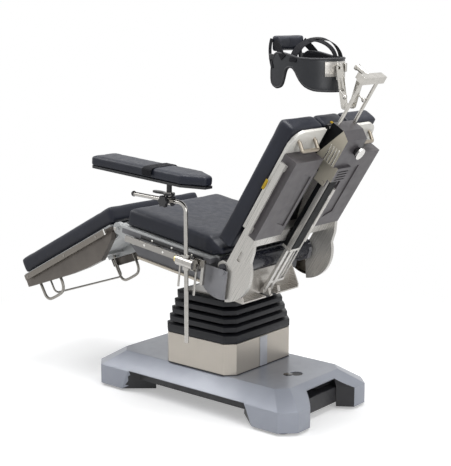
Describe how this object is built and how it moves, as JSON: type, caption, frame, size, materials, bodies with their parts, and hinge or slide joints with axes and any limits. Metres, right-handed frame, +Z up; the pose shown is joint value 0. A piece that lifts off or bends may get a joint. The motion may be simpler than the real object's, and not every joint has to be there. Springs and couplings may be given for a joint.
{
  "type": "operating table",
  "caption": "Operating table on a wide moulded base with a bellows column, hinged seat, back and leg sections, split shoulder pads, a head support and an armboard clamped to the side rail.",
  "frame": {"origin": "on the floor, on the column's axis, midway between the four brake feet", "axes": "+X towards the head end, +Z up, -Y to the side with the armboard"},
  "size_m": [1.7832, 0.773, 1.57],
  "materials": {
    "arm_lever": "polished steel",
    "arm_post": "polished stainless",
    "armboard_pad": "dark slate satin vinyl",
    "armboard_plate": "satin aluminium",
    "back_cushion": "dark slate satin vinyl",
    "back_panels": "dark grey paint",
    "back_rails": "satin stainless",
    "back_yoke": "satin aluminium",
    "base_cover": "silver-grey metallic paint",
    "base_frame": "black powder coat",
    "bellows": "matt black",
    "board_clamp": "polished steel",
    "board_lever": "black plastic",
    "brake_feet": "black rubber",
    "castor_fork_foot_far": "black zinc",
    "castor_fork_foot_near": "black zinc",
    "castor_fork_head_far": "black zinc",
    "castor_fork_head_near": "black zinc",
    "castor_wheel_foot_far": "dark grey tyre",
    "castor_wheel_foot_near": "dark grey tyre",
    "castor_wheel_head_far": "dark grey tyre",
    "castor_wheel_head_near": "dark grey tyre",
    "clamp_knob": "brass",
    "column_mid": "ground steel",
    "column_outer": "ground steel",
    "column_shroud": "brushed stainless",
    "head_arm": "polished steel",
    "head_bracket": "satin stainless",
    "head_link": "polished steel",
    "head_lock_knob": "black plastic",
    "head_socket": "satin aluminium",
    "helmet_pads": "black padded fabric",
    "helmet_shell": "charcoal satin plastic",
    "hip_covers": "grey paint",
    "knee_castings": "light grey",
    "leg_covers": "brown-grey satin paint",
    "leg_cushion": "dark slate satin vinyl",
    "leg_frame": "grey paint",
    "leg_loops": "satin stainless",
    "leg_rails": "satin stainless",
    "leg_release_bar": "satin stainless",
    "lift_head": "ground steel",
    "lift_ram": "black paint",
    "link_lever": "polished steel",
    "post_sleeve": "polished steel",
    "rail_clamp": "polished steel",
    "rear_tray": "satin stainless",
    "seat_cushion": "dark slate satin vinyl",
    "seat_deck": "light grey",
    "seat_frame": "dark grey paint",
    "seat_rails": "satin stainless",
    "shoulder_cushion_far": "dark slate satin vinyl",
    "shoulder_cushion_near": "dark slate satin vinyl",
    "shoulder_plate_far": "white paint",
    "shoulder_plate_near": "white paint",
    "star_knob": "black plastic",
    "strut_housing": "black with bright corner strips",
    "strut_rod": "satin stainless",
    "tilt_cradle": "dark grey",
    "torque_tube": "satin steel"
  },
  "bodies": {
    "base": {"base_cover": "base_cover", "base_frame": "base_frame", "brake_feet": "brake_feet", "column_shroud": "column_shroud", "column_outer": "column_outer", "bellows": "bellows", "lift_ram": "lift_ram"},
    "column_mid": {"column_mid": "column_mid"},
    "lift_head": {"lift_head": "lift_head"},
    "tilt_cradle": {"tilt_cradle": "tilt_cradle"},
    "seat": {"seat_frame": "seat_frame", "seat_deck": "seat_deck", "seat_cushion": "seat_cushion", "seat_rails": "seat_rails", "hip_covers": "hip_covers", "torque_tube": "torque_tube", "rear_tray": "rear_tray", "knee_castings": "knee_castings"},
    "back": {"back_yoke": "back_yoke", "back_panels": "back_panels", "back_rails": "back_rails", "back_cushion": "back_cushion", "head_socket": "head_socket"},
    "shoulder_near": {"shoulder_cushion_near": "shoulder_cushion_near", "shoulder_plate_near": "shoulder_plate_near"},
    "shoulder_far": {"shoulder_cushion_far": "shoulder_cushion_far", "shoulder_plate_far": "shoulder_plate_far"},
    "strut_housing": {"strut_housing": "strut_housing"},
    "strut_rod": {"strut_rod": "strut_rod"},
    "head_lock_knob": {"head_lock_knob": "head_lock_knob"},
    "head_bracket": {"head_bracket": "head_bracket"},
    "head_arm": {"head_arm": "head_arm"},
    "arm_lever": {"arm_lever": "arm_lever"},
    "head_link": {"head_link": "head_link"},
    "link_lever": {"link_lever": "link_lever"},
    "helmet": {"helmet_shell": "helmet_shell", "helmet_pads": "helmet_pads"},
    "leg": {"leg_cushion": "leg_cushion", "leg_frame": "leg_frame", "leg_covers": "leg_covers", "leg_rails": "leg_rails", "leg_loops": "leg_loops"},
    "leg_release_bar": {"leg_release_bar": "leg_release_bar"},
    "rail_clamp": {"rail_clamp": "rail_clamp"},
    "clamp_knob": {"clamp_knob": "clamp_knob"},
    "post_sleeve": {"post_sleeve": "post_sleeve"},
    "arm_post": {"arm_post": "arm_post"},
    "board_clamp": {"board_clamp": "board_clamp"},
    "star_knob": {"star_knob": "star_knob"},
    "board_lever": {"board_lever": "board_lever"},
    "armboard": {"armboard_plate": "armboard_plate", "armboard_pad": "armboard_pad"},
    "castor_fork_head_near": {"castor_fork_head_near": "castor_fork_head_near"},
    "castor_wheel_head_near": {"castor_wheel_head_near": "castor_wheel_head_near"},
    "castor_fork_head_far": {"castor_fork_head_far": "castor_fork_head_far"},
    "castor_wheel_head_far": {"castor_wheel_head_far": "castor_wheel_head_far"},
    "castor_fork_foot_near": {"castor_fork_foot_near": "castor_fork_foot_near"},
    "castor_wheel_foot_near": {"castor_wheel_foot_near": "castor_wheel_foot_near"},
    "castor_fork_foot_far": {"castor_fork_foot_far": "castor_fork_foot_far"},
    "castor_wheel_foot_far": {"castor_wheel_foot_far": "castor_wheel_foot_far"}
  },
  "joints": [
    {"name": "column_lift", "type": "slide", "parent": "base", "child": "lift_head", "axis": [0, 0, -1], "range_m": [-0.25, 0.04], "deforming": ["bellows"]},
    {"name": "column_middle", "type": "slide", "parent": "base", "child": "column_mid", "axis": [0, 0, -1], "range_m": [-0.125, 0.02]},
    {"name": "lateral_tilt", "type": "hinge", "parent": "lift_head", "child": "tilt_cradle", "pos_m": [0, 0, 0.56], "axis": [-1, 0, 0], "range_deg": [-20, 20]},
    {"name": "trend_tilt", "type": "hinge", "parent": "tilt_cradle", "child": "seat", "pos_m": [0, 0, 0.6], "axis": [0, -1, 0], "range_deg": [-12, 20]},
    {"name": "back_tilt", "type": "hinge", "parent": "seat", "child": "back", "pos_m": [0.212, 0, 0.645], "axis": [0, -1, 0], "range_deg": [-86, 9]},
    {"name": "strut_swing", "type": "hinge", "parent": "back", "child": "strut_housing", "pos_m": [0.51937, 0, 0.99536], "axis": [0, -1, 0], "range_deg": [-1.35, 10.36]},
    {"name": "strut_slide", "type": "slide", "parent": "strut_housing", "child": "strut_rod", "axis": [-0.5296, 0, -0.8483], "range_m": [-0.1774, 0.0195]},
    {"name": "shoulder_near_slide", "type": "slide", "parent": "back", "child": "shoulder_near", "axis": [0, 1, 0], "range_m": [-0.15, 0]},
    {"name": "shoulder_far_slide", "type": "slide", "parent": "back", "child": "shoulder_far", "axis": [0, 1, 0], "range_m": [0, 0.15]},
    {"name": "head_lock_turn", "type": "hinge", "parent": "back", "child": "head_lock_knob", "pos_m": [0.63489, 0.036, 1.1142], "axis": [0.848, 0, -0.5299], "range_deg": [-90, 180]},
    {"name": "head_height", "type": "slide", "parent": "back", "child": "head_bracket", "axis": [0.5299, 0, 0.848], "range_m": [-0.03, 0.1]},
    {"name": "head_arm_swing", "type": "hinge", "parent": "head_bracket", "child": "head_arm", "pos_m": [0.64441, 0, 1.41248], "axis": [0, 1, 0], "range_deg": [-8, 25]},
    {"name": "head_link_swing", "type": "hinge", "parent": "head_arm", "child": "head_link", "pos_m": [0.608, 0, 1.3], "axis": [0, 1, 0], "range_deg": [-8, 15]},
    {"name": "helmet_tilt", "type": "hinge", "parent": "head_link", "child": "helmet", "pos_m": [0.583, 0, 1.447], "axis": [0, 1, 0], "range_deg": [-6, 20]},
    {"name": "arm_lever_turn", "type": "hinge", "parent": "head_arm", "child": "arm_lever", "pos_m": [0.62285, 0.0323, 1.34588], "axis": [0, 1, 0], "range_deg": [-30, 30]},
    {"name": "link_lever_turn", "type": "hinge", "parent": "head_link", "child": "link_lever", "pos_m": [0.59727, -0.0363, 1.36309], "axis": [0, 1, 0], "range_deg": [-30, 30]},
    {"name": "leg_tilt", "type": "hinge", "parent": "seat", "child": "leg", "pos_m": [-0.39038, 0, 0.73471], "axis": [0, 1, 0], "range_deg": [-32, 41]},
    {"name": "leg_release", "type": "hinge", "parent": "leg", "child": "leg_release_bar", "pos_m": [-0.93433, 0, 0.44775], "axis": [0, 1, 0], "range_deg": [-12, 12], "stiffness_Nm_per_rad": 8.069},
    {"name": "clamp_slide", "type": "slide", "parent": "seat", "child": "rail_clamp", "axis": [-0.9903, 0, 0.1392], "range_m": [0, 0.3]},
    {"name": "clamp_knob_turn", "type": "hinge", "parent": "rail_clamp", "child": "clamp_knob", "pos_m": [0.083, -0.37, 0.664], "axis": [-0.9903, 0, 0.1392], "range_deg": [-180, 180]},
    {"name": "post_turn", "type": "hinge", "parent": "rail_clamp", "child": "post_sleeve", "pos_m": [0.083, -0.37, 0.664], "axis": [0, 0, 1], "range_deg": [-30, 90]},
    {"name": "post_height", "type": "slide", "parent": "post_sleeve", "child": "arm_post", "axis": [0, 0, 1], "range_m": [-0.04, 0.25]},
    {"name": "board_tilt", "type": "hinge", "parent": "arm_post", "child": "board_clamp", "pos_m": [-0.008, -0.37, 0.90846], "axis": [0.9993, 0, -0.038], "range_deg": [-20, 20]},
    {"name": "star_knob_turn", "type": "hinge", "parent": "board_clamp", "child": "star_knob", "pos_m": [-0.008, -0.37, 0.90846], "axis": [0, -1, 0], "range_deg": [-180, 180]},
    {"name": "board_swivel", "type": "hinge", "parent": "board_clamp", "child": "armboard", "pos_m": [-0.008, -0.37, 0.90846], "axis": [0.038, 0, 0.9993], "range_deg": [-90, 90]},
    {"name": "board_lever_turn", "type": "hinge", "parent": "board_clamp", "child": "board_lever", "pos_m": [-0.008, -0.37, 0.90846], "axis": [0.038, 0, 0.9993], "range_deg": [-50, 40]},
    {"name": "castor_swivel_head_near", "type": "hinge", "parent": "base", "child": "castor_fork_head_near", "pos_m": [0.4, -0.246, 0.06], "axis": [0, 0, 1], "continuous": true},
    {"name": "castor_roll_head_near", "type": "hinge", "parent": "castor_fork_head_near", "child": "castor_wheel_head_near", "pos_m": [0.414, -0.246, 0.028], "axis": [0, 1, 0], "continuous": true},
    {"name": "castor_swivel_head_far", "type": "hinge", "parent": "base", "child": "castor_fork_head_far", "pos_m": [0.4, 0.246, 0.06], "axis": [0, 0, 1], "continuous": true},
    {"name": "castor_roll_head_far", "type": "hinge", "parent": "castor_fork_head_far", "child": "castor_wheel_head_far", "pos_m": [0.414, 0.246, 0.028], "axis": [0, 1, 0], "continuous": true},
    {"name": "castor_swivel_foot_near", "type": "hinge", "parent": "base", "child": "castor_fork_foot_near", "pos_m": [-0.4, -0.246, 0.06], "axis": [0, 0, 1], "continuous": true},
    {"name": "castor_roll_foot_near", "type": "hinge", "parent": "castor_fork_foot_near", "child": "castor_wheel_foot_near", "pos_m": [-0.386, -0.246, 0.028], "axis": [0, 1, 0], "continuous": true},
    {"name": "castor_swivel_foot_far", "type": "hinge", "parent": "base", "child": "castor_fork_foot_far", "pos_m": [-0.4, 0.246, 0.06], "axis": [0, 0, 1], "continuous": true},
    {"name": "castor_roll_foot_far", "type": "hinge", "parent": "castor_fork_foot_far", "child": "castor_wheel_foot_far", "pos_m": [-0.386, 0.246, 0.028], "axis": [0, 1, 0], "continuous": true}
  ],
  "couplings": [
    {"joint": "column_middle", "follows": "column_lift", "ratio": 0.5},
    {"joint": "strut_swing", "follows": "back_tilt", "ratio": -0.117},
    {"joint": "strut_slide", "follows": "back_tilt", "m_per_rad": 0.11755}
  ]
}
